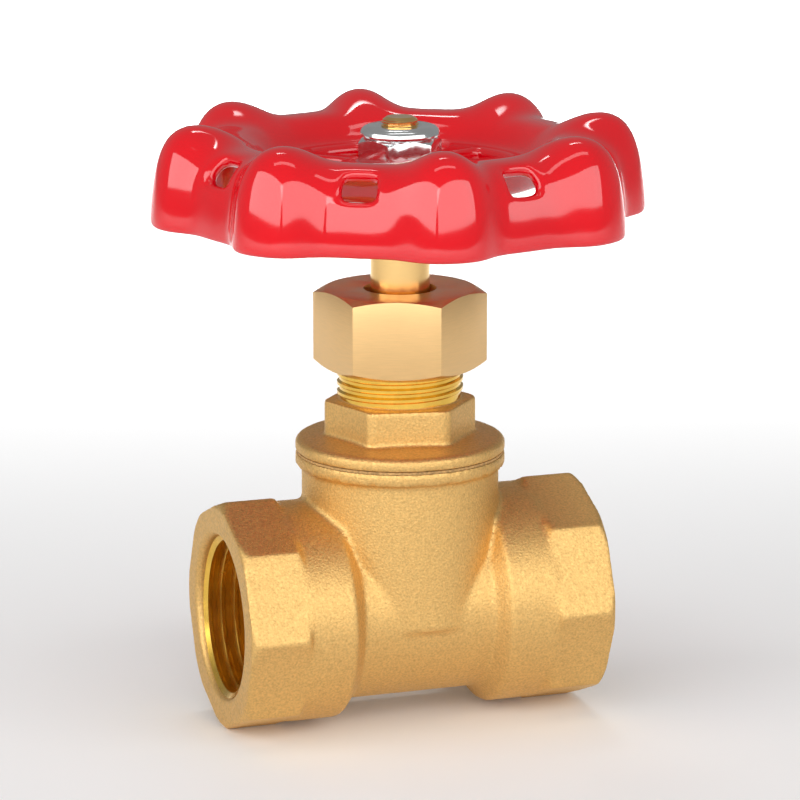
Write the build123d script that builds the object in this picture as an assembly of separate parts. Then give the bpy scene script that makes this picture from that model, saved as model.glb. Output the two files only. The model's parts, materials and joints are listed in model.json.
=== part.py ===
from build123d import *
from math import cos, pi, radians, sqrt, tan
import os

# Half-inch brass gate valve with a non-rising stem. Millimetres.
# +X runs along the flow axis and +Z up the stem. The origin is on the lowest edge of the body, under the stem.
# The model stands in the open position: the wedge is at the top of its travel.

# Body, outside
body_length = 49.0
end_across_flats = 28.0
end_sides = 8
end_length = 7.7              # octagon, from the end face to the round collar
end_face_proud = 0.25         # turned end face beyond the flats
end_chamfer = 0.8
collar_proud = 0.2            # round collar beyond the flats
collar_length = 6.3
shoulder_run = 1.8            # slope from the collar down to the barrel
barrel_wall = 2.6
neck_wall = 1.8
neck_drop = 0.9               # how far the neck reaches below the flow axis
ring_lip = 0.8
ring_height = 1.55

# Body, inside
port_radius = 10.48           # major radius of the G 1/2 thread
port_depth = 12.0
mouth_slope = 0.47            # countersink at the mouth of a port
waterway_radius = 6.0
seat_width = 1.5
seat_angle = 5.0
chamber_gap = 0.23            # wedge's corner to the chamber wall
chamber_floor_gap = 1.7
rail_width = 2.0
rail_reach = 1.6
rail_below = 3.0
rail_top_gap = 0.2

# Wedge
wedge_overlap = 0.2           # wedge radius beyond the seat's outer radius
wedge_side_wall = 1.5         # stem hole to seat face, at the wedge's centre
wedge_boss_wall = 1.6
wedge_boss_height = 12.5      # above the wedge's centre
wedge_floor = 1.4             # metal left under the stem hole
wedge_ear_bottom = -1.5
wedge_ear_top = 5.5
wedge_ear_gap = 0.5           # ear to chamber wall
wedge_ear_half_width = 2.6
ear_engagement = 0.9          # ear still on its rail when the valve is open
lift_spare = 0.1              # wedge clear of the waterway when open

# Bonnet
spigot_wall = 1.7
gasket_thickness = 0.3
gasket_inset = 0.15
flange_rim = 1.7
flange_crown = 0.5
flange_edge = 0.5
bonnet_cavity_gap = 1.6       # above the wedge's ears when open
bonnet_bore_gap = 0.1         # wedge's corner to the bore above the cavity, when open
bonnet_roof = 1.15            # cavity to the rim's top
bonnet_hex_wall = 2.4
bonnet_hex_height = 4.5
bonnet_hex_edge = 0.25
bonnet_hex_corner_cut = 0.3
bonnet_hex_turn = 18.9
stuffing_box_wall = 1.7
stem_bore_length = 1.8
boss_gap = 0.9                # above the wedge's boss when open
lock_ring_thickness = 1.8
lock_ring_lip = 1.0           # beyond the stem's collar
lock_ring_hole_radius = 0.6

# Stem
lift_thread_radius = 3.0
stem_radius = 3.8
stem_collar_width = 1.5
stem_collar_height = 1.5
thrust_washer_thickness = 0.6
thrust_washer_gap = 0.1       # to the pocket wall
square_width = 5.2
square_shoulder = 0.2         # square's flat to the tip's thread
stem_end_chamfer = 0.4
stem_end_proud = 1.1          # above the handwheel nut
shaft_above_gland = 10.2      # gland nut to the handwheel's hub

# Gland
packing_width = 2.2
packing_ring_height = 1.5
packing_ring_count = 3
follower_entry = 1.1          # follower's reach into the stuffing box
follower_collar_gap = 0.4     # to the top of the bonnet
follower_collar_height = 0.4
follower_collar_width = 1.3
gland_nut_wall = 1.95
gland_nut_roof = 2.0
gland_nut_height = 10.5
gland_nut_top_slope = 0.7
gland_nut_bottom_slope = 1.15
gland_nut_bottom_rim = 0.9    # bottom face beyond the thread
gland_nut_mouth_slope = 0.65
gland_nut_bore_gap = 0.86     # round the stem
gland_nut_turn = 8.6

# Handwheel and its nut
wheel_radius = 32.0
lobe_count = 8
lobe_turn = -7.4
lobe_bottom_radius = 6.4
lobe_top_radius = 4.9
lobe_crown = 2.8
lobe_rise = 2.25              # lobe crests above the rim between them
valley_depth = 3.4
rim_lean = 1.5
rim_shoulder_width = 2.5
rim_shoulder_drop = 2.4
rim_crest_width = 5.2
bowl_lean = 2.6
bowl_depth = 3.3
wheel_wall = 1.8
hub_radius = 6.5
hub_height = 6.0
skirt_drop = 1.2              # bottom of the skirt below the bottom of the hub
spoke_width = 3.2
web_window_margin = 1.6
slot_width = 4.8
slot_height = 2.9
slot_below_crest = 0.8
nut_across_flats = 9.5
nut_hex_height = 3.3
nut_slope = 0.5
nut_neck_height = 0.35
nut_neck_width = 2.1          # beyond the stem's tip
nut_collar_width = 2.7        # beyond the stem's tip
nut_collar_height = 1.15
nut_turn = 26.4

# Fits
stem_clearance = 0.06
thread_clearance = 0.1
seat_clearance = 0.04
rail_clearance = 0.15
square_clearance = 0.03
axial_clearance = 0.05
wedge_end_gap = 0.3

# Radii that follow from the values above
end_corner_radius = end_across_flats / 2 / cos(pi / end_sides)
end_face_radius = end_across_flats / 2 + end_face_proud
collar_radius = end_across_flats / 2 + collar_proud
seat_radius = waterway_radius + seat_width
wedge_radius = seat_radius + wedge_overlap
lift_hole_radius = lift_thread_radius + thread_clearance
seat_half_gap = lift_hole_radius + wedge_side_wall
chamber_radius = sqrt(wedge_radius**2 + seat_half_gap**2) + chamber_gap
chamber_floor_radius = wedge_radius + chamber_floor_gap
barrel_radius = chamber_floor_radius + barrel_wall
spigot_radius = chamber_radius + spigot_wall
neck_radius = spigot_radius + neck_wall
ring_radius = neck_radius + ring_lip
stem_hole_radius = stem_radius + stem_clearance
stem_collar_radius = stem_radius + stem_collar_width
lock_ring_radius = stem_collar_radius + lock_ring_lip
bonnet_across_flats = 2 * (lock_ring_radius + bonnet_hex_wall)
stuffing_box_radius = stem_radius + packing_width
gland_thread_radius = stuffing_box_radius + stuffing_box_wall
gland_nut_across_flats = 2 * (gland_thread_radius + gland_nut_wall)
stem_end_radius = square_width / 2 - square_shoulder
lobe_circle = wheel_radius - lobe_bottom_radius
rim_outer_radius = wheel_radius - valley_depth
rim_shoulder_radius = rim_outer_radius - rim_lean - rim_shoulder_width
rim_inner_radius = rim_shoulder_radius - rim_crest_width
bowl_floor_radius = rim_inner_radius - bowl_lean

# Places along the flow axis, from the stem axis
half_length = body_length / 2
collar_start = half_length - end_length
collar_end = collar_start - collar_length

# Heights
pipe_z = end_corner_radius
wedge_lift = waterway_radius + wedge_radius + lift_spare
wedge_z = pipe_z + wedge_lift
stem_hole_bottom = wedge_z - wedge_radius + wedge_floor
stem_bottom = stem_hole_bottom + wedge_end_gap
rail_top = wedge_z + wedge_ear_bottom + ear_engagement
spigot_bottom = rail_top + rail_top_gap
wedge_top_half = seat_half_gap + wedge_radius * tan(radians(seat_angle))
corner_fit = sqrt(wedge_radius**2 + wedge_top_half**2 - (lock_ring_radius - bonnet_bore_gap) ** 2)
cavity_top = wedge_z + max(wedge_ear_top + bonnet_cavity_gap, corner_fit)
flange_top = cavity_top + bonnet_roof
flange_bottom = flange_top - flange_rim
body_top = flange_bottom - gasket_thickness
hex_top = flange_top + flange_crown + bonnet_hex_height
lock_ring_bottom = wedge_z + wedge_boss_height + boss_gap
pocket_bottom = lock_ring_bottom + lock_ring_thickness
collar_bottom = pocket_bottom + axial_clearance
collar_top = collar_bottom + stem_collar_height
washer_bottom = collar_top + axial_clearance
pocket_top = washer_bottom + thrust_washer_thickness
box_floor = pocket_top + stem_bore_length
packing_top = box_floor + packing_ring_count * packing_ring_height
bonnet_top = packing_top + follower_entry
follower_collar_bottom = bonnet_top + follower_collar_gap
follower_top = follower_collar_bottom + follower_collar_height
gland_nut_top = follower_top + gland_nut_roof
gland_nut_bottom = gland_nut_top - gland_nut_height
hub_bottom = gland_nut_top + shaft_above_gland
hub_top = hub_bottom + hub_height
crest_z = hub_top + bowl_depth
skirt_bottom = hub_bottom - skirt_drop
lobe_top = crest_z + lobe_rise
nut_hex_end = hub_top + nut_hex_height
nut_collar_bottom = nut_hex_end + nut_neck_height
nut_top = nut_collar_bottom + nut_collar_height
stem_top = nut_top + stem_end_proud


def turned(*points):
    """Solid of revolution about Z through (radius, height) corners."""
    outline = Polyline(*[(radius, 0, height) for radius, height in points], close=True)
    return revolve(make_face(outline), Axis.Z)


def pin(radius, bottom, top):
    return Pos(0, 0, bottom) * extrude(Circle(radius), top - bottom)


def tube(inner, outer, bottom, top):
    return pin(outer, bottom, top) - pin(inner, bottom, top)


def prism(corner_radius, sides, bottom, top, turn=0.0):
    """Regular prism about Z. One corner points along +X before the turn."""
    outline = Rot(0, 0, turn) * RegularPolygon(corner_radius, sides)
    return Pos(0, 0, bottom) * extrude(outline, top - bottom)


def hexagon(across_flats, bottom, top, flat_turn):
    """Hexagonal prism whose first flat faces flat_turn degrees from +X."""
    return prism(across_flats / 2 / cos(pi / 6), 6, bottom, top, flat_turn - 30)


def along_flow(solid):
    """Lays a solid made about Z along the flow axis, at the flow axis's height."""
    return Pos(0, 0, pipe_z) * Rot(0, 90, 0) * solid


def block(x_low, x_high, y_low, y_high, z_low, z_high):
    size = (x_high - x_low, y_high - y_low, z_high - z_low)
    middle = ((x_low + x_high) / 2, (y_low + y_high) / 2, (z_low + z_high) / 2)
    return Pos(*middle) * Box(*size)


def wedge_shape(half_gap, centre_z, reach):
    """Space between two planes leaning out by the seat angle, half_gap from the stem axis at centre_z."""
    spread = reach * tan(radians(seat_angle))
    corners = [
        (-half_gap + spread, 0, centre_z - reach),
        (half_gap - spread, 0, centre_z - reach),
        (half_gap + spread, 0, centre_z + reach),
        (-half_gap - spread, 0, centre_z + reach),
    ]
    return extrude(make_face(Polyline(*corners, close=True)), reach, both=True, dir=(0, 1, 0))


def body_blank():
    """Outside of the body, filled."""
    octagon = prism(end_corner_radius, end_sides, -half_length, half_length)
    envelope = turned(
        (0, -half_length),
        (end_face_radius, -half_length),
        (end_corner_radius, end_chamfer - half_length),
        (end_corner_radius, -collar_start),
        (0, -collar_start),
    )
    ends = octagon & (envelope + Rot(180, 0, 0) * envelope)
    middle = turned(
        (0, -collar_start),
        (collar_radius, -collar_start),
        (collar_radius, -collar_end),
        (barrel_radius, shoulder_run - collar_end),
        (barrel_radius, collar_end - shoulder_run),
        (collar_radius, collar_end),
        (collar_radius, collar_start),
        (0, collar_start),
    )
    neck = pin(neck_radius, pipe_z - neck_drop, body_top - ring_height)
    ring = pin(ring_radius, body_top - ring_height, body_top)
    return along_flow(ends + middle) + neck + ring


def body_ports():
    """The two threaded ports and the waterway between them, as solids to cut."""
    port = turned(
        (0, half_length),
        (port_radius + mouth_slope, half_length),
        (port_radius, half_length - mouth_slope),
        (port_radius, half_length - port_depth),
        (0, half_length - port_depth),
    )
    waterway = pin(waterway_radius, -half_length, half_length)
    return along_flow(port + Rot(180, 0, 0) * port + waterway)


def body_chamber():
    """Space that the wedge moves in, with the seats left standing, as a solid to cut."""
    upper = pin(chamber_radius, pipe_z, body_top)
    lower = pin(chamber_radius, 0, pipe_z) & along_flow(pin(chamber_floor_radius, -chamber_radius, chamber_radius))
    seats = along_flow(pin(seat_radius, -half_length, half_length))
    seats -= wedge_shape(seat_half_gap, pipe_z, half_length)
    return upper + lower - seats + pin(spigot_radius, spigot_bottom, body_top)


def valve_body():
    body = body_blank() - body_chamber() - body_ports()
    rail = block(
        -rail_width / 2,
        rail_width / 2,
        chamber_radius - rail_reach,
        (chamber_radius + neck_radius) / 2,
        pipe_z - rail_below,
        rail_top,
    )
    return body + rail + Rot(0, 0, 180) * rail


def bonnet_gasket():
    return tube(spigot_radius, ring_radius - gasket_inset, body_top, flange_bottom)


def bonnet():
    corner_radius = bonnet_across_flats / 2 / cos(pi / 6) - bonnet_hex_corner_cut
    flange = turned(
        (0, flange_bottom),
        (ring_radius, flange_bottom),
        (ring_radius, flange_top - flange_edge),
        (ring_radius - flange_edge, flange_top),
        (bonnet_across_flats / 2, flange_top + flange_crown),
        (0, flange_top + flange_crown),
    )
    hex_envelope = turned(
        (0, flange_bottom),
        (corner_radius, flange_bottom),
        (corner_radius, hex_top - bonnet_hex_edge),
        (corner_radius - bonnet_hex_edge, hex_top),
        (0, hex_top),
    )
    hex_part = hexagon(bonnet_across_flats, flange_bottom, hex_top, bonnet_hex_turn) & hex_envelope
    outside = pin(spigot_radius, spigot_bottom, flange_bottom) + flange + hex_part
    outside += pin(gland_thread_radius, hex_top, bonnet_top)
    inside = pin(chamber_radius, spigot_bottom, cavity_top)
    inside += pin(lock_ring_radius, spigot_bottom, pocket_bottom)
    inside += pin(stem_collar_radius + axial_clearance + thrust_washer_gap, spigot_bottom, pocket_top)
    inside += pin(stem_hole_radius, spigot_bottom, bonnet_top)
    inside += pin(stuffing_box_radius, box_floor, bonnet_top)
    return outside - inside


def stem_lock_ring():
    ring = tube(lift_hole_radius, lock_ring_radius, lock_ring_bottom, pocket_bottom)
    hole_circle = (lift_hole_radius + lock_ring_radius) / 2
    hole = Pos(hole_circle, 0, 0) * pin(lock_ring_hole_radius, lock_ring_bottom, pocket_bottom)
    return ring - hole - Rot(0, 0, 180) * hole


def thrust_washer():
    return tube(stem_hole_radius, stem_collar_radius + axial_clearance, washer_bottom, pocket_top)


def stem():
    body = turned(
        (0, stem_bottom),
        (lift_thread_radius - stem_end_chamfer, stem_bottom),
        (lift_thread_radius, stem_bottom + stem_end_chamfer),
        (lift_thread_radius, collar_bottom),
        (stem_collar_radius, collar_bottom),
        (stem_collar_radius, collar_top),
        (stem_radius, collar_top),
        (stem_radius, hub_bottom),
        (stem_end_radius, hub_bottom),
        (stem_end_radius, stem_top - stem_end_chamfer),
        (stem_end_radius - stem_end_chamfer, stem_top),
        (0, stem_top),
    )
    half = square_width / 2
    square = Rot(0, 0, lobe_turn) * block(-half, half, -half, half, hub_bottom, hub_top - axial_clearance)
    return body + (square & pin(stem_radius, hub_bottom, hub_top))


def wedge_gate():
    disc = Pos(0, 0, wedge_z) * Rot(0, 90, 0) * pin(wedge_radius, -half_length, half_length)
    disc &= wedge_shape(seat_half_gap - seat_clearance, wedge_z, wedge_radius + wedge_boss_height)
    ear_reach = chamber_radius - wedge_ear_gap
    ears = block(
        -wedge_ear_half_width,
        wedge_ear_half_width,
        -ear_reach,
        ear_reach,
        wedge_z + wedge_ear_bottom,
        wedge_z + wedge_ear_top,
    )
    boss = pin(lift_hole_radius + wedge_boss_wall, wedge_z, wedge_z + wedge_boss_height)
    groove_half = rail_width / 2 + rail_clearance
    groove = block(
        -groove_half,
        groove_half,
        chamber_radius - rail_reach - rail_clearance,
        chamber_radius,
        wedge_z - wedge_radius,
        wedge_z + wedge_radius,
    )
    hole = pin(lift_hole_radius, stem_hole_bottom, wedge_z + wedge_boss_height)
    return disc + ears + boss - groove - Rot(0, 0, 180) * groove - hole


def packing_ring(number):
    bottom = box_floor + number * packing_ring_height
    return tube(stem_hole_radius, stuffing_box_radius, bottom, bottom + packing_ring_height)


def gland_follower():
    bush = pin(stuffing_box_radius - stem_clearance, packing_top, follower_top)
    bush += pin(stuffing_box_radius + follower_collar_width, follower_collar_bottom, follower_top)
    return bush - pin(stem_hole_radius, packing_top, follower_top)


def gland_nut():
    corner_radius = gland_nut_across_flats / 2 / cos(pi / 6)
    envelope = turned(
        (0, gland_nut_bottom),
        (gland_thread_radius + gland_nut_bottom_rim, gland_nut_bottom),
        (corner_radius, gland_nut_bottom + gland_nut_bottom_slope),
        (corner_radius, gland_nut_top - gland_nut_top_slope),
        (gland_nut_across_flats / 2, gland_nut_top),
        (0, gland_nut_top),
    )
    bore = turned(
        (0, gland_nut_bottom),
        (gland_thread_radius + gland_nut_mouth_slope, gland_nut_bottom),
        (gland_thread_radius, gland_nut_bottom + gland_nut_mouth_slope),
        (gland_thread_radius, follower_top),
        (stem_radius + gland_nut_bore_gap, follower_top),
        (stem_radius + gland_nut_bore_gap, gland_nut_top),
        (0, gland_nut_top),
    )
    return (hexagon(gland_nut_across_flats, gland_nut_bottom, gland_nut_top, gland_nut_turn) & envelope) - bore


def around_wheel(solid, turn=0.0):
    """Copies of a solid made beside +X, one per lobe."""
    step = 360 / lobe_count
    copies = [Rot(0, 0, lobe_turn + turn + step * number) * solid for number in range(lobe_count)]
    return Part() + copies


def lobes(inset):
    """The eight lobes as cones with a domed top, made smaller all round by the inset."""
    lobe = turned(
        (0, skirt_bottom),
        (lobe_bottom_radius - inset, skirt_bottom),
        (lobe_top_radius - inset, lobe_top - lobe_crown - inset / 2),
        (lobe_top_radius - inset - lobe_crown / 2, lobe_top - inset),
        (0, lobe_top - inset),
    )
    return around_wheel(Pos(lobe_circle, 0, 0) * lobe)


def wheel_outside():
    """Rim, bowl and hub as one filled solid of revolution."""
    return turned(
        (0, skirt_bottom),
        (rim_outer_radius, skirt_bottom),
        (rim_outer_radius - rim_lean, crest_z - rim_shoulder_drop),
        (rim_shoulder_radius, crest_z),
        (rim_inner_radius, crest_z),
        (bowl_floor_radius, hub_top),
        (0, hub_top),
    )


def wheel_underside():
    """Hollow below the rim and the web, as a solid to cut."""
    return turned(
        (hub_radius, skirt_bottom),
        (rim_outer_radius - wheel_wall, skirt_bottom),
        (rim_outer_radius - rim_lean - wheel_wall, crest_z - rim_shoulder_drop),
        (rim_shoulder_radius - wheel_wall / 2, crest_z - wheel_wall),
        (rim_inner_radius + wheel_wall / 2, crest_z - wheel_wall),
        (bowl_floor_radius + wheel_wall / 2, hub_top - wheel_wall),
        (hub_radius, hub_top - wheel_wall),
    )


def web_windows():
    """Openings in the web, between straight spokes, as solids to cut."""
    ring = tube(hub_radius + web_window_margin, bowl_floor_radius - web_window_margin, skirt_bottom, crest_z)
    spoke = block(0, bowl_floor_radius, -spoke_width / 2, spoke_width / 2, skirt_bottom, crest_z)
    return ring - around_wheel(spoke)


def handwheel():
    inner_reach = lobe_circle - lobe_bottom_radius
    wheel = wheel_outside() + (lobes(0) - pin(inner_reach, skirt_bottom, lobe_top))
    wheel -= wheel_underside() + lobes(wheel_wall)
    wheel -= web_windows()
    wheel -= pin(hub_radius, skirt_bottom, hub_bottom)
    slot = block(
        rim_shoulder_radius,
        rim_outer_radius,
        -slot_width / 2,
        slot_width / 2,
        crest_z - slot_below_crest - slot_height,
        crest_z - slot_below_crest,
    )
    wheel -= around_wheel(slot, 180 / lobe_count)
    half = square_width / 2 + square_clearance
    return wheel - Rot(0, 0, lobe_turn) * block(-half, half, -half, half, hub_bottom, hub_top)


def handwheel_nut():
    corner_radius = nut_across_flats / 2 / cos(pi / 6)
    envelope = turned(
        (0, hub_top),
        (corner_radius, hub_top),
        (corner_radius, nut_hex_end - nut_slope),
        (nut_across_flats / 2, nut_hex_end),
        (0, nut_hex_end),
    )
    nut = hexagon(nut_across_flats, hub_top, nut_hex_end, nut_turn) & envelope
    nut += pin(stem_end_radius + nut_neck_width, nut_hex_end, nut_collar_bottom)
    nut += pin(stem_end_radius + nut_collar_width, nut_collar_bottom, nut_top)
    return nut - pin(stem_end_radius, hub_top, nut_top)


nodes = {
    "valve_body": valve_body(),
    "bonnet_gasket": bonnet_gasket(),
    "bonnet": bonnet(),
    "stem": stem(),
    "stem_lock_ring": stem_lock_ring(),
    "thrust_washer": thrust_washer(),
    "wedge_gate": wedge_gate(),
    "gland_follower": gland_follower(),
    "gland_nut": gland_nut(),
    "handwheel": handwheel(),
    "handwheel_nut": handwheel_nut(),
}
for number in range(packing_ring_count):
    nodes[f"packing_ring_{number + 1}"] = packing_ring(number)

os.makedirs("parts", exist_ok=True)
for name, solid in nodes.items():
    export_step(solid, f"parts/{name}.step")
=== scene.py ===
"""Brass gate valve: castings, threads, machined nuts and an enamelled handwheel.

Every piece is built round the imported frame, in metres and in the frame's own place.
"""

import json
from math import cos, pi, radians, sin, tau

import bmesh
import bpy
from bpy.props import FloatProperty, FloatVectorProperty, IntProperty, PointerProperty
from mathutils import Matrix, Vector


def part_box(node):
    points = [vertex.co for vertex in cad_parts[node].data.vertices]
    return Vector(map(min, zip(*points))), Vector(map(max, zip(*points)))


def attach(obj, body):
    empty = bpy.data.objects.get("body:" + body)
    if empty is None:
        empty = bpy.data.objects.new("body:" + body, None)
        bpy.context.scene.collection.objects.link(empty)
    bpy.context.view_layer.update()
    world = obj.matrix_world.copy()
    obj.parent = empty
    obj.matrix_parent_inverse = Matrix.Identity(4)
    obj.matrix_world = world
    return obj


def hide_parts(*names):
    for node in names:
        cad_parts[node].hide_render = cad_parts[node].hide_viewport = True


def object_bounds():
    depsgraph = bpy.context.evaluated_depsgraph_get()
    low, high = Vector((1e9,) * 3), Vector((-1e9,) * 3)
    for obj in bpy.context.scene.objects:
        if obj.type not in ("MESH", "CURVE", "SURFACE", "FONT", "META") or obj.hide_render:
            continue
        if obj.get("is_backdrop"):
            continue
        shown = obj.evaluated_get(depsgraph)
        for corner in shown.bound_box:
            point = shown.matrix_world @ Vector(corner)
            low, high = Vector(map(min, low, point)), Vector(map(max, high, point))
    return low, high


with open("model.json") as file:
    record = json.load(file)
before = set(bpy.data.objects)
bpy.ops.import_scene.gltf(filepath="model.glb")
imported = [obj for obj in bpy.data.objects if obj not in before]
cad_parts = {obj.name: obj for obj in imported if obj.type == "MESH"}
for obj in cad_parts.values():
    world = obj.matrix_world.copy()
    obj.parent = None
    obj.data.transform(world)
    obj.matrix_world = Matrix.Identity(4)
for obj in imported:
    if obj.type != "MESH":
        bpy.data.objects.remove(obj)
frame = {"nodes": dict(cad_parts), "record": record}

bl_info = {
    "name": "Brass Gate Valve",
    "version": (1, 0, 0),
    "blender": (4, 5, 0),
    "location": "View3D > Sidebar > Gate Valve",
    "description": "Builds the finished pieces of a small brass gate valve",
    "category": "Object",
}

MM = 0.001
PORTS = {mount["name"]: mount for mount in frame["record"]["mounts"]}
BODY_LOW, BODY_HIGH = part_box("valve_body")
BONNET_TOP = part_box("bonnet")[1].z
GLAND_LOW, GLAND_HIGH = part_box("gland_nut")
STEM_LOW, STEM_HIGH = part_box("stem")
WHEEL_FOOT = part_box("handwheel")[0].z
TOP_NUT_LOW, TOP_NUT_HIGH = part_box("handwheel_nut")
LOCK_RING_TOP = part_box("stem_lock_ring")[1].z
WASHER_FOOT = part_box("thrust_washer")[0].z
FLOW_HEIGHT = (BODY_HIGH.y - BODY_LOW.y) / 2
EMBED = 0.1 * MM         # how far inside its core a thread's ridge starts
SLEEVE_PROUD = 0.1 * MM  # how far the gland thread's core stands out from the casting
SLEEVE_DEPTH = 0.3 * MM  # how far it reaches into the casting
LINING = 0.06 * MM       # how far a port's machined lining stands out from the cast wall
CLEAR = 1.0 * MM         # how far a cutting shape runs past a face


def length(name, description, default):
    return FloatProperty(
        name=name, description=description, default=default, unit="LENGTH", precision=5
    )


def angle(name, description, default):
    return FloatProperty(
        name=name, description=description, default=radians(default), subtype="ANGLE"
    )


def colour(name, description, default):
    return FloatVectorProperty(
        name=name, description=description, default=default, subtype="COLOR", min=0, max=1
    )


def number(name, description, default):
    return FloatProperty(name=name, description=description, default=default)


def whole_number(name, description, default, least):
    return IntProperty(name=name, description=description, default=default, min=least)


class CastingSettings(bpy.types.PropertyGroup):
    body_grain: length("Body rounding", "Voxel size that rounds the body's cast edges", 0.37 * MM)
    bonnet_grain: length("Bonnet rounding", "Voxel size that rounds the bonnet's cast edges", 0.25 * MM)
    wedge_grain: length("Wedge rounding", "Voxel size that rounds the wedge's cast edges", 0.25 * MM)
    softening: whole_number("Softening", "Smoothing passes over a casting", 4, 0)


class ThreadSettings(bpy.types.PropertyGroup):
    pipe_pitch: length("Pipe pitch", "Pitch of the parallel pipe thread in the ports", 1.814 * MM)
    pipe_depth: length("Pipe thread depth", "Height of the pipe thread's ridge", 0.62 * MM)
    gland_core: length("Gland core radius", "Core radius of the thread under the gland nut", 7.7 * MM)
    gland_pitch: length("Gland pitch", "Pitch of the thread under the gland nut", 1.2 * MM)
    gland_depth: length("Gland thread depth", "Height of the gland thread's ridge", 0.42 * MM)
    gland_length: length("Gland thread length", "Thread above the bonnet's hexagon", 11.5 * MM)
    tip_pitch: length("Tip pitch", "Pitch of the stem tip's thread", 0.5 * MM)
    lift_pitch: length("Lift pitch", "Lead of the thread that lifts the wedge", 2.0 * MM)


class NutSettings(bpy.types.PropertyGroup):
    gland_flats: length("Gland nut flats", "Gland nut across flats", 19.3 * MM)
    gland_turn: angle("Gland nut turn", "Direction of one flat of the gland nut", 8.6)
    gland_top_slope: length("Gland top slope", "Height of the gland nut's top chamfer", 0.7 * MM)
    gland_bottom_slope: length("Gland bottom slope", "Height of its bottom chamfer", 1.15 * MM)
    gland_bottom_radius: length("Gland bottom radius", "Radius of its bottom face", 8.6 * MM)
    gland_bore: length("Gland bore radius", "Radius of the hole round the stem", 4.66 * MM)
    gland_roof: length("Gland roof", "Thickness of the gland nut's roof", 2.0 * MM)
    top_flats: length("Top nut flats", "Handwheel nut across flats", 9.5 * MM)
    top_turn: angle("Top nut turn", "Direction of one flat of the handwheel nut", 26.4)
    top_hexagon: length("Top nut hexagon", "Height of the handwheel nut's hexagon", 3.3 * MM)
    edge: length("Edge", "Width of the gland nut's broken edges", 0.2 * MM)
    top_edge: length("Top nut edge", "Width of the handwheel nut's broken edges", 0.1 * MM)


class StemSettings(bpy.types.PropertyGroup):
    shaft: length("Shaft radius", "Radius of the plain shaft", 3.8 * MM)
    lift_core: length("Lift core", "Core radius of the lift thread", 2.3 * MM)
    lift_radius: length("Lift radius", "Outer radius of the lift thread", 3.0 * MM)
    collar: length("Collar radius", "Radius of the thrust collar", 5.3 * MM)
    collar_gap: length("Collar gap", "Clearance above and below the thrust collar", 0.05 * MM)
    tip: length("Tip radius", "Outer radius of the tip's thread", 2.4 * MM)
    tip_depth: length("Tip thread depth", "Height of the tip's thread", 0.2 * MM)
    hub_recess: length("Hub recess", "Wheel's foot to the shoulder under its hub", 1.2 * MM)
    edge: length("Edge", "Width of the broken edges on the stem", 0.15 * MM)
    square: length("Square", "Width of the handwheel's square seat", 5.2 * MM)


class WheelSettings(bpy.types.PropertyGroup):
    lobes: whole_number("Lobes", "Number of grip lobes round the rim", 8, 3)
    lobe_turn: angle("Lobe turn", "Direction of the first lobe", -7.4)


class FinishSettings(bpy.types.PropertyGroup):
    cast_brass: colour("Cast brass", "Sand-blasted brass", (0.72, 0.462, 0.168))
    turned_brass: colour("Turned brass", "Machined brass", (0.85, 0.555, 0.25))
    thread_brass: colour("Thread brass", "Freshly cut threads", (0.90, 0.56, 0.10))
    stem_brass: colour("Stem brass", "Drawn brass of the stem", (0.92, 0.60, 0.24))
    enamel: colour("Enamel", "Handwheel enamel", (0.66, 0.0, 0.006))
    plating: colour("Plating", "Bright plating of the handwheel nut", (0.86, 0.88, 0.88))
    packing: colour("Packing", "Packing rings and washer", (0.88, 0.87, 0.82))
    fibre: colour("Fibre", "Compressed fibre gasket", (0.40, 0.23, 0.08))


class StageSettings(bpy.types.PropertyGroup):
    azimuth: angle("Azimuth", "Camera direction round the stem", -19.15)
    pitch: angle("Pitch", "Camera's downward tilt", 13.13)
    distance: length("Distance", "Level distance from the stem to the camera", 479.7 * MM)
    rise: length("Rise", "Camera's height above the flow axis", 138.55 * MM)
    lens: number("Lens", "Focal length in millimetres", 172.4)
    key: number("Key", "Brightness of the softboxes", 1.0)
    fill: number("Fill", "Even light from all round", 0.28)
    backdrop: number("Backdrop", "Power of the lamp on the floor behind, in watts", 6.0)
    floor: length("Floor", "Half the width of the floor", 4.0)


GROUPS = {
    "casting": CastingSettings,
    "threads": ThreadSettings,
    "nuts": NutSettings,
    "stem": StemSettings,
    "wheel": WheelSettings,
    "finish": FinishSettings,
    "stage": StageSettings,
}


class ValveSettings(bpy.types.PropertyGroup):
    casting: PointerProperty(type=CastingSettings)
    threads: PointerProperty(type=ThreadSettings)
    nuts: PointerProperty(type=NutSettings)
    stem: PointerProperty(type=StemSettings)
    wheel: PointerProperty(type=WheelSettings)
    finish: PointerProperty(type=FinishSettings)
    stage: PointerProperty(type=StageSettings)


# Mesh tools


def lathe(bm, points, steps=128):
    """Spins an open or closed outline of (radius, height) points about Z."""
    verts = [bm.verts.new((radius, 0, height)) for radius, height in points]
    edges = [bm.edges.new(pair) for pair in zip(verts, verts[1:])]
    bmesh.ops.spin(bm, geom=verts + edges, axis=(0, 0, 1), angle=tau, steps=steps, use_merge=True)
    bmesh.ops.remove_doubles(bm, verts=bm.verts, dist=0.002 * MM)
    bmesh.ops.recalc_face_normals(bm, faces=bm.faces)


def closed(points):
    return [*points, points[0]]


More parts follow.
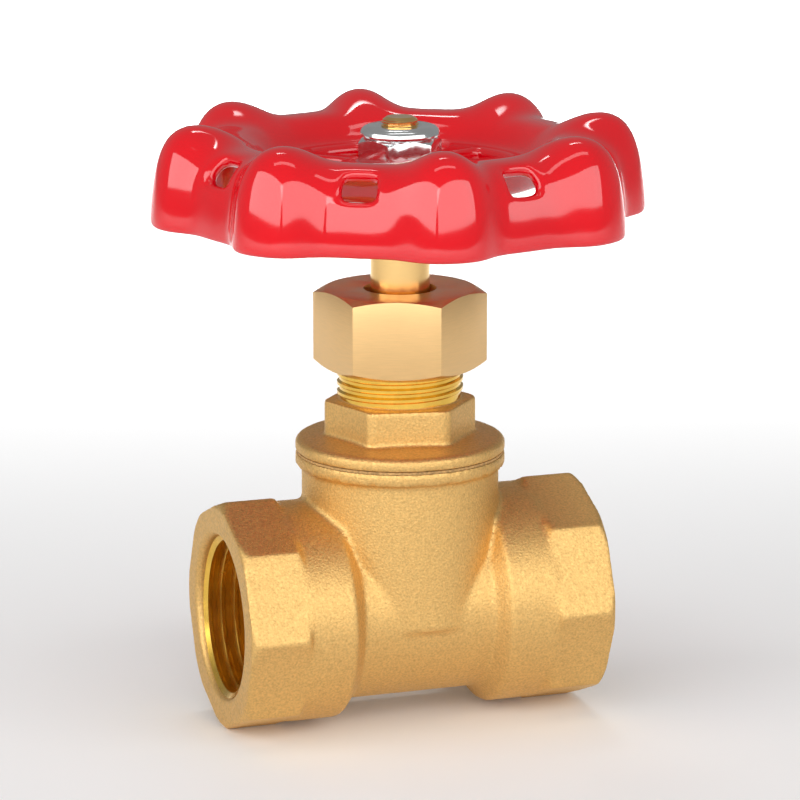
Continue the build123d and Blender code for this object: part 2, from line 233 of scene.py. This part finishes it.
def ridge(bm, root, crest, pitch, low, high, steps=72, flat=0.2, foot=0.99):
    """Helical thread ridge about Z, from the root radius to the crest radius, capped at both ends.

    The widths of its crest and foot, flat and foot, are shares of the pitch.
    """
    count = max(1, round((high - low) / pitch * steps))
    half_root, half_crest = pitch * foot / 2, pitch * flat / 2
    outline = [(root, -half_root), (crest, -half_crest), (crest, half_crest), (root, half_root)]
    verts = [bm.verts.new((radius, 0, low + height)) for radius, height in outline]
    edges = [bm.edges.new(pair) for pair in zip(verts, verts[1:] + verts[:1])]
    climb = (0, 0, pitch / steps)
    sweep = count * tau / steps
    bmesh.ops.spin(bm, geom=verts + edges, axis=(0, 0, 1), dvec=climb, angle=sweep, steps=count)
    rims = [edge for edge in bm.edges if edge.is_boundary]
    bmesh.ops.holes_fill(bm, edges=rims, sides=4)
    bmesh.ops.recalc_face_normals(bm, faces=bm.faces)


def prism(bm, across_flats, sides, low, high, turn):
    """Regular prism about Z whose first flat faces the turn's direction."""
    corner = across_flats / 2 / cos(pi / sides)
    bmesh.ops.create_circle(bm, cap_ends=True, segments=sides, radius=corner)
    start = bm.verts[:]
    start_turn = turn + pi / sides - pi / 2
    bmesh.ops.rotate(bm, verts=start, cent=(0, 0, 0), matrix=Matrix.Rotation(start_turn, 3, "Z"))
    bmesh.ops.translate(bm, verts=start, vec=(0, 0, low))
    grown = bmesh.ops.extrude_face_region(bm, geom=bm.faces[:])
    top = [item for item in grown["geom"] if isinstance(item, bmesh.types.BMVert)]
    bmesh.ops.translate(bm, verts=top, vec=(0, 0, high - low))
    bmesh.ops.recalc_face_normals(bm, faces=bm.faces)


def cad_copy(bm, node):
    """Copy of a CAD node's mesh with its loose triangles merged."""
    bm.from_mesh(frame["nodes"][node].data)
    bmesh.ops.remove_doubles(bm, verts=bm.verts, dist=0.001 * MM)


def add_object(name, shape, *arguments, **options):
    """New object whose mesh is made by a shape function."""
    bm = bmesh.new()
    shape(bm, *arguments, **options)
    mesh = bpy.data.meshes.new(name)
    bm.to_mesh(mesh)
    bm.free()
    piece = bpy.data.objects.new(name, mesh)
    bpy.context.scene.collection.objects.link(piece)
    return piece


def add_modifier(piece, kind, **values):
    modifier = piece.modifiers.new(kind.title(), kind)
    for key, value in values.items():
        setattr(modifier, key, value)


def settle(piece, *spent):
    """Applies a piece's modifiers to its mesh and removes the helper objects they used."""
    graph = bpy.context.evaluated_depsgraph_get()
    mesh = bpy.data.meshes.new_from_object(piece.evaluated_get(graph))
    piece.modifiers.clear()
    piece.data = mesh
    for helper in spent:
        bpy.data.objects.remove(helper)


def cut(piece, helper, operation="DIFFERENCE"):
    add_modifier(piece, "BOOLEAN", object=helper, operation=operation, solver="EXACT")
    settle(piece, helper)


def join(piece, *others):
    """Adds other objects' meshes to a piece as separate shells."""
    bm = bmesh.new()
    for source in (piece, *others):
        bm.from_mesh(source.data)
    bm.to_mesh(piece.data)
    bm.free()
    for source in others:
        bpy.data.objects.remove(source)


def break_edges(piece, width, segments=2):
    """Bevels the sharp edges of a piece."""
    add_modifier(
        piece,
        "BEVEL",
        affect="EDGES",
        width=width,
        segments=segments,
        profile=0.5,
        material=-1,
        limit_method="ANGLE",
        angle_limit=radians(18),
    )
    settle(piece)


def add_thread(name, sleeve, *ridge_sizes, **ridge_shares):
    """New object of a closed turned sleeve with a helical ridge on it."""
    thread = add_object(name, lathe, closed(sleeve))
    join(thread, add_object("ridge", ridge, *ridge_sizes, **ridge_shares))
    return thread


def add_nut(name, across_flats, low, high, turn, outside, inside, edge):
    """New hexagon nut, trimmed to a turned outline, bored to another, with its edges broken."""
    nut = add_object(name, prism, across_flats, 6, low, high, turn)
    cut(nut, add_object("outside", lathe, outside), "INTERSECT")
    cut(nut, add_object("inside", lathe, inside))
    break_edges(nut, edge)
    return nut


def dress(piece, material, body, smooth=30):
    """Gives a finished piece its material, smooth shading and body."""
    piece.data.materials.clear()
    piece.data.materials.append(material)
    piece.data.shade_smooth()
    piece.data.set_sharp_from_angle(angle=radians(smooth))
    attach(piece, body)


def rounded_casting(name, node, voxel, passes):
    """Copy of a CAD node with its cast edges rounded."""
    piece = add_object(name, cad_copy, node)
    add_modifier(piece, "REMESH", mode="VOXEL", voxel_size=voxel)
    add_modifier(piece, "SMOOTH", factor=0.5, iterations=passes)
    settle(piece)
    return piece


# Materials


class Finish:
    """A material whose colour, roughness and relief come from nodes on Object coordinates."""

    def __init__(self, name, metallic=0.0, roughness=0.5, **sockets):
        self.material = bpy.data.materials.new(name)
        self.material.use_nodes = True
        self.nodes = self.material.node_tree.nodes
        self.links = self.material.node_tree.links
        self.surface = self.nodes["Principled BSDF"]
        self.surface.inputs["Metallic"].default_value = metallic
        self.surface.inputs["Roughness"].default_value = roughness
        for socket, value in sockets.items():
            self.surface.inputs[socket.replace("_", " ")].default_value = value
        self.place = self.nodes.new("ShaderNodeTexCoord").outputs["Object"]
        self.normal = None

    def noise(self, size, detail=3.0, squeeze=1.0):
        """Noise of a given grain size; a squeeze over 1 draws it out into level lines."""
        mapping = self.nodes.new("ShaderNodeMapping")
        mapping.inputs["Scale"].default_value = (1, 1, squeeze)
        self.links.new(self.place, mapping.inputs["Vector"])
        node = self.nodes.new("ShaderNodeTexNoise")
        node.inputs["Scale"].default_value = 1 / size
        node.inputs["Detail"].default_value = detail
        self.links.new(mapping.outputs["Vector"], node.inputs["Vector"])
        return node.outputs["Fac"]

    def tint(self, factor, *stops):
        """Base colour from (position, colour) stops along a factor."""
        ramp = self.nodes.new("ShaderNodeValToRGB")
        while len(ramp.color_ramp.elements) < len(stops):
            ramp.color_ramp.elements.new(0.5)
        for element, (position, value) in zip(ramp.color_ramp.elements, stops):
            element.position = position
            element.color = (*value, 1)
        self.links.new(factor, ramp.inputs["Fac"])
        self.links.new(ramp.outputs["Color"], self.surface.inputs["Base Color"])

    def polish(self, factor, low, high):
        """Roughness that varies between two values along a factor."""
        node = self.nodes.new("ShaderNodeMapRange")
        node.inputs["From Min"].default_value = 0.3
        node.inputs["From Max"].default_value = 0.7
        node.inputs["To Min"].default_value = low
        node.inputs["To Max"].default_value = high
        self.links.new(factor, node.inputs["Value"])
        self.links.new(node.outputs["Result"], self.surface.inputs["Roughness"])

    def relief(self, height, depth, strength=1.0):
        """Adds bump of a given depth on top of what is there."""
        node = self.nodes.new("ShaderNodeBump")
        node.inputs["Distance"].default_value = depth
        node.inputs["Strength"].default_value = strength
        self.links.new(height, node.inputs["Height"])
        if self.normal:
            self.links.new(self.normal, node.inputs["Normal"])
        self.normal = node.outputs["Normal"]
        self.links.new(self.normal, self.surface.inputs["Normal"])


def shade(value, factor):
    return tuple(min(1.0, channel * factor) for channel in value)


def settings():
    return bpy.context.scene.gate_valve


def cast_brass():
    """Sand-blasted brass: fine even grain over a faint mottling."""
    base = settings().finish.cast_brass
    finish = Finish("sand blasted brass", metallic=1.0)
    grit = finish.noise(0.28 * MM, detail=4)
    finish.tint(grit, (0.3, shade(base, 0.83)), (0.5, base), (0.7, shade(base, 1.14)))
    finish.polish(finish.noise(0.45 * MM, detail=3), 0.46, 0.6)
    finish.relief(finish.noise(0.7 * MM, detail=2), 0.04 * MM, 0.6)
    finish.relief(finish.noise(0.26 * MM, detail=3), 0.07 * MM, 0.9)
    return finish.material


def turned_brass(name="turned brass", base=None, low=0.3, high=0.4):
    """Machined brass with fine tool marks, between two roughnesses."""
    base = base or settings().finish.turned_brass
    finish = Finish(name, metallic=1.0)
    lines = finish.noise(2 * MM, squeeze=16)
    finish.tint(lines, (0.3, shade(base, 0.96)), (0.7, shade(base, 1.03)))
    finish.polish(lines, low, high)
    finish.relief(finish.noise(1.2 * MM, squeeze=16), 0.0016 * MM, 0.5)
    return finish.material


def thread_brass(name, low, high):
    """Bright freshly cut brass of the threads."""
    base = settings().finish.thread_brass
    finish = Finish(name, metallic=1.0)
    finish.tint(finish.noise(1.5 * MM), (0.3, shade(base, 0.9)), (0.7, shade(base, 1.06)))
    finish.polish(finish.noise(2.5 * MM, detail=1), low, high)
    finish.relief(finish.noise(1.6 * MM, detail=1), 0.006 * MM, 0.4)
    return finish.material


def enamel():
    """Thick glossy dipped enamel with a slow waviness."""
    base = settings().finish.enamel
    finish = Finish(
        "red enamel",
        roughness=0.5,
        Coat_Weight=1.0,
        Coat_IOR=1.72,
        Coat_Roughness=0.07,
        Specular_IOR_Level=0.0,
    )
    finish.tint(finish.noise(9 * MM, detail=1), (0.3, shade(base, 0.93)), (0.7, base))
    finish.relief(finish.noise(4 * MM, detail=1), 0.08 * MM, 0.5)
    return finish.material


def plating():
    """Bright plating with faint marks."""
    base = settings().finish.plating
    finish = Finish("bright plating", metallic=1.0)
    finish.tint(finish.noise(2 * MM), (0.3, shade(base, 0.9)), (0.7, base))
    finish.polish(finish.noise(0.5 * MM), 0.12, 0.2)
    finish.relief(finish.noise(1.2 * MM, detail=1), 0.004 * MM, 0.3)
    return finish.material


def soft_white():
    """Pressed packing: waxy, slightly fibrous."""
    base = settings().finish.packing
    finish = Finish("packing white", roughness=0.5)
    finish.tint(finish.noise(0.8 * MM, detail=4), (0.3, shade(base, 0.88)), (0.7, base))
    finish.relief(finish.noise(0.3 * MM, detail=3), 0.02 * MM, 0.5)
    return finish.material


def fibre():
    """Dark compressed fibre of the gasket."""
    base = settings().finish.fibre
    finish = Finish("gasket fibre", roughness=0.8)
    finish.tint(finish.noise(0.4 * MM, detail=6), (0.3, shade(base, 0.6)), (0.7, shade(base, 1.5)))
    finish.relief(finish.noise(0.2 * MM, detail=4), 0.03 * MM, 0.7)
    return finish.material


# Operators


class GATEVALVE_OT_body(bpy.types.Operator):
    """Cast body with cut pipe threads in both ports"""

    bl_idname = "gate_valve.body"
    bl_label = "Body"

    def execute(self, context):
        casting, threads = settings().casting, settings().threads
        body = rounded_casting("body_casting", "valve_body", casting.body_grain, casting.softening)
        dress(body, cast_brass(), "valve")
        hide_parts("valve_body")
        bright = thread_brass("port thread brass", 0.2, 0.28)
        for name, port in PORTS.items():
            wall, span = port["dims"]["r_mm"] * MM, port["dims"]["length_mm"] * MM
            foot, mouth = -span / 2 + threads.pipe_pitch / 2, span / 2 - threads.pipe_pitch / 2
            thread = add_thread(
                f"{name}_thread",
                [
                    (wall - LINING, foot),
                    (wall + EMBED, foot),
                    (wall + EMBED, mouth),
                    (wall - LINING, mouth),
                ],
                wall + EMBED / 2,
                wall - threads.pipe_depth,
                threads.pipe_pitch,
                foot,
                mouth + threads.pipe_pitch / 4,
                flat=0.2,
                foot=0.72,
            )
            turn = Matrix.Rotation(pi / 2 * port["axis"][0], 4, "Y")
            thread.data.transform(Matrix.Translation(port["pos_m"]) @ turn)
            dress(thread, bright, "valve")
        return {"FINISHED"}


class GATEVALVE_OT_bonnet(bpy.types.Operator):
    """Cast bonnet with the cut thread that carries the gland nut"""

    bl_idname = "gate_valve.bonnet"
    bl_label = "Bonnet"

    def execute(self, context):
        casting, threads = settings().casting, settings().threads
        bonnet = rounded_casting("bonnet_casting", "bonnet", casting.bonnet_grain, casting.softening)
        dress(bonnet, cast_brass(), "valve")
        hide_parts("bonnet")
        low = BONNET_TOP - threads.gland_length
        core = threads.gland_core
        inner, outer = core - SLEEVE_DEPTH, core + SLEEVE_PROUD
        sunk, chamfer = 0.2 * MM, 0.4 * MM
        thread = add_thread(
            "gland_thread",
            [
                (inner, low - sunk),
                (outer, low - sunk),
                (outer, BONNET_TOP - chamfer),
                (inner, BONNET_TOP),
            ],
            core - EMBED,
            core + threads.gland_depth,
            threads.gland_pitch,
            low + threads.gland_pitch * 0.3,
            GLAND_LOW.z + threads.gland_pitch / 4,
            flat=0.3,
        )
        dress(thread, thread_brass("gland thread brass", 0.13, 0.2), "valve")
        return {"FINISHED"}


class GATEVALVE_OT_gland_nut(bpy.types.Operator):
    """Machined gland nut"""

    bl_idname = "gate_valve.gland_nut"
    bl_label = "Gland nut"

    def execute(self, context):
        nuts, threads = settings().nuts, settings().threads
        low, high = GLAND_LOW.z, GLAND_HIGH.z
        corner = nuts.gland_flats / 2 / cos(pi / 6) + 0.05 * MM
        outside = [
            (0, low),
            (nuts.gland_bottom_radius, low),
            (corner, low + nuts.gland_bottom_slope),
            (corner, high - nuts.gland_top_slope),
            (nuts.gland_flats / 2 - 0.02 * MM, high),
            (0, high),
        ]
        core, roof = threads.gland_core, high - nuts.gland_roof
        countersink = 0.65 * MM
        inside = [
            (0, low - CLEAR),
            (core + countersink, low - CLEAR),
            (core + countersink, low),
            (core, low + countersink),
            (core, roof),
            (nuts.gland_bore, roof),
            (nuts.gland_bore, high + CLEAR),
            (0, high + CLEAR),
        ]
        nut = add_nut(
            "gland_nut_turned", nuts.gland_flats, low, high, nuts.gland_turn, outside, inside, nuts.edge
        )
        dress(nut, turned_brass(), "valve")
        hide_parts("gland_nut")
        return {"FINISHED"}


class GATEVALVE_OT_stem(bpy.types.Operator):
    """Turned stem with its lift thread, collar, square seat and threaded tip"""

    bl_idname = "gate_valve.stem"
    bl_label = "Stem"

    def execute(self, context):
        stem, threads = settings().stem, settings().threads
        low, high = STEM_LOW.z, STEM_HIGH.z
        hub_low = WHEEL_FOOT + stem.hub_recess
        collar_foot = LOCK_RING_TOP + stem.collar_gap
        collar_top = WASHER_FOOT - stem.collar_gap
        edge = stem.edge
        tip_core = stem.tip - stem.tip_depth
        outline = [
            (0, low),
            (stem.lift_core - edge, low),
            (stem.lift_core, low + edge),
            (stem.lift_core, collar_foot),
            (stem.collar - edge, collar_foot),
            (stem.collar, collar_foot + edge),
            (stem.collar, collar_top - edge),
            (stem.collar - edge, collar_top),
            (stem.shaft, collar_top),
            (stem.shaft, hub_low - edge),
            (stem.shaft - edge, hub_low),
            (tip_core, hub_low),
            (tip_core, high - 0.35 * MM),
            (tip_core - 0.5 * MM, high),
            (0, high),
        ]
        shaft = add_object("stem_turned", lathe, outline)
        half = Vector((stem.square / 2, stem.square / 2, (TOP_NUT_LOW.z - hub_low) / 2))
        place = Matrix.Translation((0, 0, hub_low + half.z))
        turn = Matrix.Rotation(settings().wheel.lobe_turn, 4, "Z")
        square = add_object("square", bmesh.ops.create_cube, size=2)
        square.data.transform(place @ turn @ Matrix.Diagonal((*half, 1)))
        break_edges(square, 0.25 * MM, segments=3)
        lift = add_object(
            "lift ridge",
            ridge,
            stem.lift_core - EMBED,
            stem.lift_radius,
            threads.lift_pitch,
            low + threads.lift_pitch / 2,
            collar_foot - threads.lift_pitch * 0.75,
            flat=0.36,
        )
        tip = add_object(
            "tip ridge",
            ridge,
            tip_core - EMBED,
            stem.tip,
            threads.tip_pitch,
            TOP_NUT_LOW.z,
            high - 0.45 * MM,
        )
        join(shaft, square, lift, tip)
        drawn = turned_brass("stem brass", base=settings().finish.stem_brass, low=0.14, high=0.2)
        dress(shaft, drawn, "stem_and_wheel")
        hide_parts("stem")
        return {"FINISHED"}


# Half-sections of the handwheel's skin, in millimetres: (radius, height above the skirt's foot) in the
# valley between two lobes, then at the middle of a lobe. Both lists run from the foot, over the crest,
# to the hole at the centre.
WHEEL_OUTSIDE = [
    ((28.3, 0.0), (31.9, 0.0)),
    ((28.45, 0.8), (32.1, 0.8)),
    ((28.3, 3.0), (31.95, 3.0)),
    ((27.9, 5.6), (31.6, 5.8)),
    ((27.7, 6.9), (31.2, 8.0)),
    ((26.9, 8.8), (30.3, 10.6)),
    ((25.1, 10.1), (28.8, 12.4)),
    ((23.4, 10.6), (26.4, 13.1)),
    ((21.4, 10.65), (23.6, 12.6)),
    ((19.6, 10.4), (20.8, 11.2)),
    ((18.3, 9.3), (18.5, 9.6)),
    ((17.5, 7.9), (17.5, 8.0)),
    ((16.4, 7.2), (16.4, 7.2)),
    ((14.9, 7.2), (14.9, 7.2)),
    ((8.1, 7.2), (8.1, 7.2)),
    ((6.9, 7.2), (6.9, 7.2)),
    ((3.75, 7.2), (3.75, 7.2)),
]
WHEEL_INSIDE = [
    ((26.8, 0.0), (30.3, 0.0)),
    ((26.8, 0.8), (30.4, 0.8)),
    ((26.6, 3.0), (30.2, 3.0)),
    ((26.2, 5.4), (29.8, 5.6)),
    ((25.95, 6.6), (29.3, 7.6)),
    ((25.2, 7.9), (28.5, 9.6)),
    ((24.2, 8.5), (27.3, 10.8)),
    ((23.1, 8.75), (25.7, 11.2)),
    ((21.8, 8.75), (23.7, 10.6)),
    ((21.1, 8.1), (21.9, 8.9)),
    ((20.3, 7.1), (20.5, 7.4)),
    ((19.3, 5.4), (19.3, 5.4)),
    ((17.7, 4.9), (17.7, 4.9)),
    ((14.9, 4.9), (14.9, 4.9)),
    ((8.1, 4.9), (8.1, 4.9)),
    ((6.6, 4.7), (6.6, 4.7)),
    ((6.5, 1.9), (6.5, 1.9)),
    ((6.4, 1.25), (6.4, 1.25)),
    ((5.9, 1.2), (5.9, 1.2)),
    ((3.75, 1.2), (3.75, 1.2)),
]
# Half a lobe, from its middle to the middle of the valley: (degrees, share of its reach, of its rise)
LOBE_COLUMNS = [
    (0.0, 1.0, 1.0),
    (4.0, 0.95, 0.84),
    (7.5, 0.73, 0.42),
    (10.5, 0.36, 0.15),
    (13.8, 0.07, 0.03),
    (17.9, 0.0, 0.0),
    (22.5, 0.0, 0.0),
]
# Openings: the first row and column of the skin that each takes, and how many of them
SLOT = {"row": 4, "rows": 2, "column": 5, "columns": 2}
WEB_WINDOW = {"row": 13, "rows": 1, "column": 2, "columns": 8}


def wheel_cage(bm, lobes, foot):
    """Cage of the lobed rim, web and hub, with slots in the valleys and windows in the web."""
    mirrored = [(360 / lobes - turn, reach, rise) for turn, reach, rise in LOBE_COLUMNS[-2:0:-1]]
    per_lobe = LOBE_COLUMNS + mirrored
    columns = [
        (radians(turn + lobe * 360 / lobes), reach, rise)
        for lobe in range(lobes)
        for turn, reach, rise in per_lobe
    ]
    rings = [bmesh.ops.create_circle(bm, segments=len(columns), radius=MM)["verts"]]
    sections = WHEEL_OUTSIDE + WHEEL_INSIDE[::-1]
    while len(rings) < len(sections):
        rings.append(grow_ring(bm, rings[-1]))
    seam = grow_ring(bm, rings[-1])
    bmesh.ops.weld_verts(bm, targetmap=dict(zip(seam, rings[0])))
    for ring, (valley, crest) in zip(rings, sections):
        for vert, (turn, reach, rise) in zip(ring, columns):
            radius = (valley[0] + (crest[0] - valley[0]) * reach) * MM
            height = (valley[1] + (crest[1] - valley[1]) * rise) * MM
            vert.co = (radius * cos(turn), radius * sin(turn), foot + height)
    for lobe in range(lobes):
        for hole in (SLOT, WEB_WINDOW):
            pierce(bm, rings, hole, lobe * len(per_lobe))
    bmesh.ops.recalc_face_normals(bm, faces=bm.faces)


def grow_ring(bm, ring):
    """Extrudes a ring of vertices and returns the new ring in the same order."""
    edges = [bm.edges.get(pair) for pair in zip(ring, ring[1:] + ring[:1])]
    grown = bmesh.ops.extrude_edge_only(bm, edges=edges)["geom"]
    fresh = {item for item in grown if isinstance(item, bmesh.types.BMVert)}
    links = [[edge.other_vert(vert) for edge in vert.link_edges] for vert in ring]
    return [fresh.intersection(others).pop() for others in links]


def pierce(bm, rings, hole, start):
    """Opens a hole through both skins and walls its edge."""
    steps = len(rings[0])
    columns = [(start + hole["column"] + step) % steps for step in range(hole["columns"] + 1)]
    rows = [hole["row"] + step for step in range(hole["rows"] + 1)]
    for patch_rows in (rows, [len(rings) - 1 - row for row in rows]):
        patch = {rings[row][column] for row in patch_rows for column in columns}
        faces = [face for face in bm.faces if patch.issuperset(face.verts)]
        bmesh.ops.delete(bm, geom=faces, context="FACES")
    bmesh.ops.bridge_loops(bm, edges=[edge for edge in bm.edges if edge.is_boundary])


class GATEVALVE_OT_handwheel(bpy.types.Operator):
    """Enamelled handwheel with grip lobes, windows and spokes"""

    bl_idname = "gate_valve.handwheel"
    bl_label = "Handwheel"

    def execute(self, context):
        wheel = settings().wheel
        piece = add_object("handwheel_enamelled", wheel_cage, wheel.lobes, WHEEL_FOOT)
        piece.data.transform(Matrix.Rotation(wheel.lobe_turn, 4, "Z"))
        add_modifier(piece, "SUBSURF", levels=2, render_levels=2)
        settle(piece)
        dress(piece, enamel(), "stem_and_wheel", smooth=180)
        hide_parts("handwheel")
        return {"FINISHED"}


# Rounded rim of the handwheel nut's collar, in millimetres: (inward from the rim, up from the hexagon)
COLLAR_ROUNDING = [(0.0, 0.45), (0.05, 0.72), (0.22, 1.05), (0.55, 1.34), (0.95, 1.47)]


class GATEVALVE_OT_top_nut(bpy.types.Operator):
    """Plated handwheel nut with a round collar on top"""

    bl_idname = "gate_valve.top_nut"
    bl_label = "Handwheel nut"

    def execute(self, context):
        nuts, stem = settings().nuts, settings().stem
        low, high = TOP_NUT_LOW.z, TOP_NUT_HIGH.z
        hex_high = low + nuts.top_hexagon
        corner = nuts.top_flats / 2 / cos(pi / 6)
        outside = [
            (0, low),
            (nuts.top_flats / 2, low),
            (corner, low + 0.4 * MM),
            (corner, hex_high - 0.6 * MM),
            (nuts.top_flats / 2 - 0.15 * MM, hex_high),
            (0, hex_high),
        ]
        inside = [
            (0, low - CLEAR),
            (stem.tip, low - CLEAR),
            (stem.tip, high + CLEAR),
            (0, high + CLEAR),
        ]
        nut = add_nut(
            "handwheel_nut_plated",
            nuts.top_flats,
            low,
            hex_high,
            nuts.top_turn,
            outside,
            inside,
            nuts.top_edge,
        )
        rim = (TOP_NUT_HIGH.y - TOP_NUT_LOW.y) / 2
        neck = rim - 0.7 * MM
        collar = [
            (stem.tip, hex_high - 0.1 * MM),
            (neck, hex_high - 0.1 * MM),
            (neck, hex_high + 0.15 * MM),
            (rim - 0.12 * MM, hex_high + 0.22 * MM),
            *[(rim - inward * MM, hex_high + rise * MM) for inward, rise in COLLAR_ROUNDING],
            (stem.tip + 0.45 * MM, high),
            (stem.tip + 0.1 * MM, high - 0.2 * MM),
            (stem.tip, high - 0.3 * MM),
        ]
        join(nut, add_object("collar", lathe, closed(collar)))
        dress(nut, plating(), "stem_and_wheel")
        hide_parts("handwheel_nut")
        return {"FINISHED"}


class GATEVALVE_OT_inner_parts(bpy.types.Operator):
    """Finishes of the wedge, gasket, packing and the other pieces inside"""

    bl_idname = "gate_valve.inner_parts"
    bl_label = "Inner parts"

    def execute(self, context):
        casting = settings().casting
        wedge = rounded_casting("wedge_casting", "wedge_gate", casting.wedge_grain, casting.softening)
        dress(wedge, cast_brass(), "wedge")
        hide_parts("wedge_gate")
        white = soft_white()
        turned = turned_brass("small turned brass")
        finishes = {
            "bonnet_gasket": fibre(),
            "stem_lock_ring": turned,
            "gland_follower": turned,
            "thrust_washer": white,
        }
        for name, node in frame["nodes"].items():
            material = white if name.startswith("packing_ring") else finishes.get(name)
            if material:
                node.data.materials.clear()
                node.data.materials.append(material)
        return {"FINISHED"}


# Softboxes: name, degrees to the side of the camera, degrees up, distance, (width, height), brightness
SOFTBOXES = [
    ("left_softbox", -47, 23, 0.8, (1.2, 0.52), 2.7),
    ("right_softbox", 34, 23, 0.8, (1.35, 0.52), 2.3),
    ("top_strip", 10, 78, 0.8, (0.7, 0.12), 1.8),
]


def area_lamp(name, energy, location):
    """New area lamp; returns its object."""
    lamp = bpy.data.lights.new(name, "AREA")
    lamp.energy = energy
    piece = bpy.data.objects.new(name, lamp)
    bpy.context.scene.collection.objects.link(piece)
    piece.location = location
    return piece


class GATEVALVE_OT_stage(bpy.types.Operator):
    """Pale floor, softboxes and camera"""

    bl_idname = "gate_valve.stage"
    bl_label = "Stage"

    def execute(self, context):
        stage = settings().stage
        scene = context.scene
        floor = add_object("floor", bmesh.ops.create_grid, x_segments=1, y_segments=1, size=stage.floor)
        paper = Finish("floor paper", roughness=0.9)
        paper.tint(paper.noise(0.5, detail=1), (0.3, (0.90, 0.90, 0.90)), (0.7, (0.93, 0.93, 0.93)))
        floor.data.materials.append(paper.material)
        floor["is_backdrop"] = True

        world = bpy.data.worlds.new("studio")
        world.use_nodes = True
        world.node_tree.nodes["Background"].inputs["Color"].default_value = (1, 1, 1, 1)
        world.node_tree.nodes["Background"].inputs["Strength"].default_value = stage.fill
        scene.world = world

        low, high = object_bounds()
        middle = Vector((0, 0, (low.z + high.z) / 2))
        for name, side, height, distance, (width, depth), glow in SOFTBOXES:
            bearing, lift = stage.azimuth + radians(side), radians(height)
            away = Vector((sin(bearing) * cos(lift), -cos(bearing) * cos(lift), sin(lift)))
            box = area_lamp(name, glow * stage.key * pi * width * depth, middle + away * distance)
            box.data.shape = "RECTANGLE"
            box.data.size, box.data.size_y = width, depth
            box.rotation_euler = away.to_track_quat("Z", "Y").to_euler()

        across = Vector((sin(stage.azimuth), -cos(stage.azimuth), 0))
        lamp = area_lamp("backdrop_lamp", stage.backdrop, Vector((0, 0, 1.0)) - across * 0.75)
        lamp.data.size = 0.5
        lamp.data.spread = radians(66)

        lens = bpy.data.cameras.new("camera")
        lens.lens = stage.lens
        lens.clip_start = 0.01
        camera = bpy.data.objects.new("camera", lens)
        scene.collection.objects.link(camera)
        camera.location = across * stage.distance + Vector((0, 0, FLOW_HEIGHT + stage.rise))
        camera.rotation_euler = (pi / 2 - stage.pitch, 0, stage.azimuth)
        scene.camera = camera
        scene.view_settings.view_transform = "Standard"
        return {"FINISHED"}


class GATEVALVE_PT_panel(bpy.types.Panel):
    """Sizes, colours and the buttons that build each piece"""

    bl_idname = "GATEVALVE_PT_panel"
    bl_label = "Gate Valve"
    bl_space_type = "VIEW_3D"
    bl_region_type = "UI"
    bl_category = "Gate Valve"

    def draw(self, context):
        for operator in OPERATORS:
            self.layout.operator(operator.bl_idname)
        for key in GROUPS:
            group = getattr(context.scene.gate_valve, key)
            box = self.layout.box()
            box.label(text=key.title())
            for name in group.__annotations__:
                box.prop(group, name)


OPERATORS = (
    GATEVALVE_OT_body,
    GATEVALVE_OT_bonnet,
    GATEVALVE_OT_gland_nut,
    GATEVALVE_OT_stem,
    GATEVALVE_OT_handwheel,
    GATEVALVE_OT_top_nut,
    GATEVALVE_OT_inner_parts,
    GATEVALVE_OT_stage,
)
CLASSES = (*GROUPS.values(), ValveSettings, *OPERATORS, GATEVALVE_PT_panel)


def register():
    for cls in CLASSES:
        bpy.utils.register_class(cls)
    bpy.types.Scene.gate_valve = PointerProperty(type=ValveSettings)


def unregister():
    del bpy.types.Scene.gate_valve
    for cls in reversed(CLASSES):
        bpy.utils.unregister_class(cls)


def main():
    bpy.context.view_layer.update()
    register()
    bpy.ops.gate_valve.body()
    bpy.ops.gate_valve.bonnet()
    bpy.ops.gate_valve.gland_nut()
    bpy.ops.gate_valve.stem()
    bpy.ops.gate_valve.handwheel()
    bpy.ops.gate_valve.top_nut()
    bpy.ops.gate_valve.inner_parts()
    bpy.ops.gate_valve.stage()


if __name__ == "__main__":
    main()
